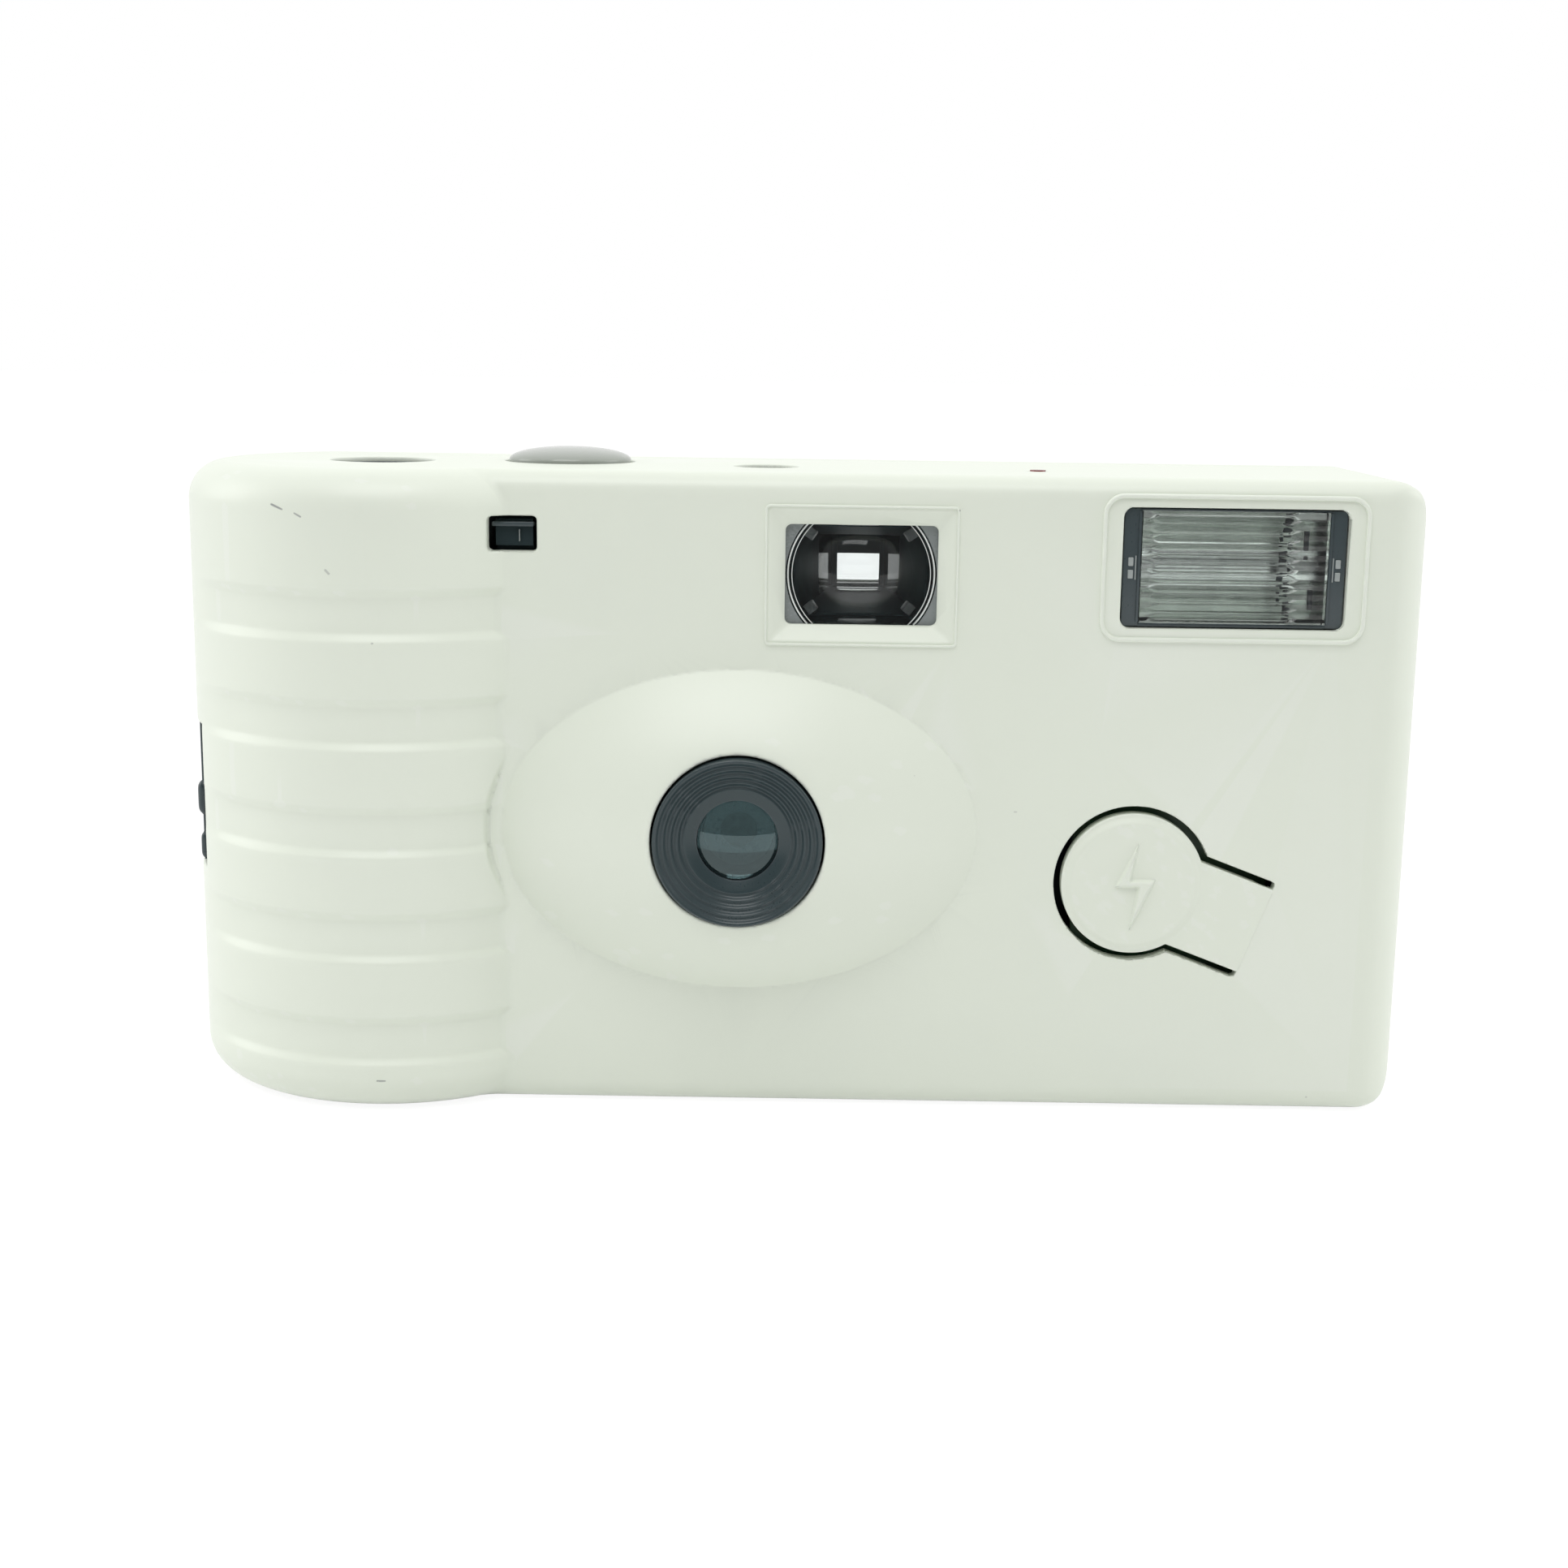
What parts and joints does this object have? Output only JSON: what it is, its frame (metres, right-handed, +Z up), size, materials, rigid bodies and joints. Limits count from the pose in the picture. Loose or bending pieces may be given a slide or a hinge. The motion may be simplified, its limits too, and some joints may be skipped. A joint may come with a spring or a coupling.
{
  "type": "disposable film camera",
  "caption": "White single-use film camera with a ribbed barrel grip, oval lens dome, viewfinder, built-in flash, press-in flash button, shutter button and thumb winding wheel.",
  "frame": {"origin": "middle of the bounding box at the base", "axes": "+X to the viewer's right when facing the lens, +Y from the lens to the back, +Z up"},
  "size_m": [0.117, 0.0352, 0.0614],
  "materials": {
    "white_shell": "satin moulded white",
    "grey_button": "glossy pale grey",
    "black_plastic": "fine matt black",
    "dark_plastic": "matt dark grey",
    "clear_lens": "clear moulded plastic",
    "spring_steel": "drawn spring steel",
    "bright_metal": "bright reflector foil",
    "flash_glass": "clear gas tube",
    "board_green": "solder mask green",
    "blue_sleeve": "shrink sleeve",
    "copper_wire": "enamelled wire",
    "copper_strip": "thin contact strip",
    "lamp_glass": "neon lamp glass",
    "red_pipe": "dark red light pipe",
    "battery_sleeve": "plain printed sleeve",
    "ivory_plastic": "slippery ivory moulding",
    "cassette_paint": "plain painted can",
    "film_base": "brown film base"
  },
  "bodies": {
    "camera_body": {"front_cover": "white_shell", "back_cover": "white_shell", "lens_ring": "black_plastic", "taking_lens": "clear_lens", "shutter_plate": "black_plastic", "kick_spring": "spring_steel", "button_spring": "spring_steel", "finder_front_lens": "clear_lens", "finder_tunnel": "black_plastic", "finder_eyepiece": "clear_lens", "flash_lens": "clear_lens", "flash_reflector": "bright_metal", "flash_tube": "flash_glass", "flash_board": "board_green", "capacitor": "blue_sleeve", "transformer": "copper_wire", "switch_blade": "copper_strip", "board_screws": "spring_steel", "ready_lamp": "lamp_glass", "light_pipe": "red_pipe", "battery": "battery_sleeve", "battery_spring": "spring_steel", "battery_plate": "spring_steel", "counter_window": "clear_lens", "cassette_can": "cassette_paint", "cassette_caps": "dark_plastic", "film_strip": "film_base", "main_frame": "black_plastic", "strap_bar": "black_plastic"},
    "shutter_button": {"shutter_button": "grey_button"},
    "release_lever": {"release_lever": "dark_plastic"},
    "kick_lever": {"kick_lever": "dark_plastic"},
    "shutter_blade": {"shutter_blade": "spring_steel"},
    "wind_wheel": {"wind_wheel": "black_plastic", "cassette_spool": "dark_plastic"},
    "sprocket": {"sprocket": "ivory_plastic"},
    "supply": {"supply_spool": "dark_plastic", "film_roll": "film_base"},
    "counter_dial": {"counter_dial": "ivory_plastic"},
    "flash_button": {"flash_button": "white_shell"},
    "cassette_door": {"cassette_door": "white_shell"}
  },
  "joints": [
    {"name": "shutter_press", "type": "slide", "parent": "camera_body", "child": "shutter_button", "axis": [0, 0, -1], "range_m": [0, 0.0015], "stiffness_N_per_m": 400, "deforming": ["button_spring"]},
    {"name": "release_rock", "type": "hinge", "parent": "camera_body", "child": "release_lever", "pos_m": [-0.015, 0.006, 0.0501], "axis": [0, 1, 0], "range_deg": [-20, 0]},
    {"name": "wind_turn", "type": "hinge", "parent": "camera_body", "child": "wind_wheel", "pos_m": [-0.04, 0.0023, 0.053], "axis": [0, 0, 1], "continuous": true},
    {"name": "sprocket_turn", "type": "hinge", "parent": "camera_body", "child": "sprocket", "pos_m": [-0.011, 0.00725, 0.045], "axis": [0, 0, 1], "continuous": true},
    {"name": "supply_turn", "type": "hinge", "parent": "camera_body", "child": "supply", "pos_m": [0.0263, 0.00485, 0.0268], "axis": [0, 0, 1], "continuous": true},
    {"name": "counter_turn", "type": "hinge", "parent": "camera_body", "child": "counter_dial", "pos_m": [-0.0076, -0.0019, 0.05], "axis": [0, 0, 1], "continuous": true},
    {"name": "kick_swing", "type": "hinge", "parent": "camera_body", "child": "kick_lever", "pos_m": [-0.0149, 0.0016, 0.0475], "axis": [0, 0, 1], "range_deg": [0, 35]},
    {"name": "blade_swing", "type": "hinge", "parent": "camera_body", "child": "shutter_blade", "pos_m": [-0.0128, -0.0083, 0.0368], "axis": [0, 1, 0], "range_deg": [0, 30]},
    {"name": "flash_press", "type": "hinge", "parent": "camera_body", "child": "flash_button", "pos_m": [0.04296, -0.0105, 0.01824], "axis": [-0.3535, 0, -0.9354], "range_deg": [0, 4.5], "stiffness_Nm_per_rad": 0.12},
    {"name": "door_open", "type": "hinge", "parent": "camera_body", "child": "cassette_door", "pos_m": [-0.04, 0.011, 0.00085], "axis": [1, 0, 0], "range_deg": [0, 95]}
  ],
  "couplings": [
    {"joint": "release_rock", "follows": "shutter_press", "rad_per_m": -222.2},
    {"joint": "sprocket_turn", "follows": "wind_turn", "ratio": 0.9752},
    {"joint": "supply_turn", "follows": "wind_turn", "ratio": 0.686},
    {"joint": "counter_turn", "follows": "wind_turn", "ratio": -0.03251},
    {"joint": "blade_swing", "follows": "kick_swing", "ratio": 0.85}
  ]
}
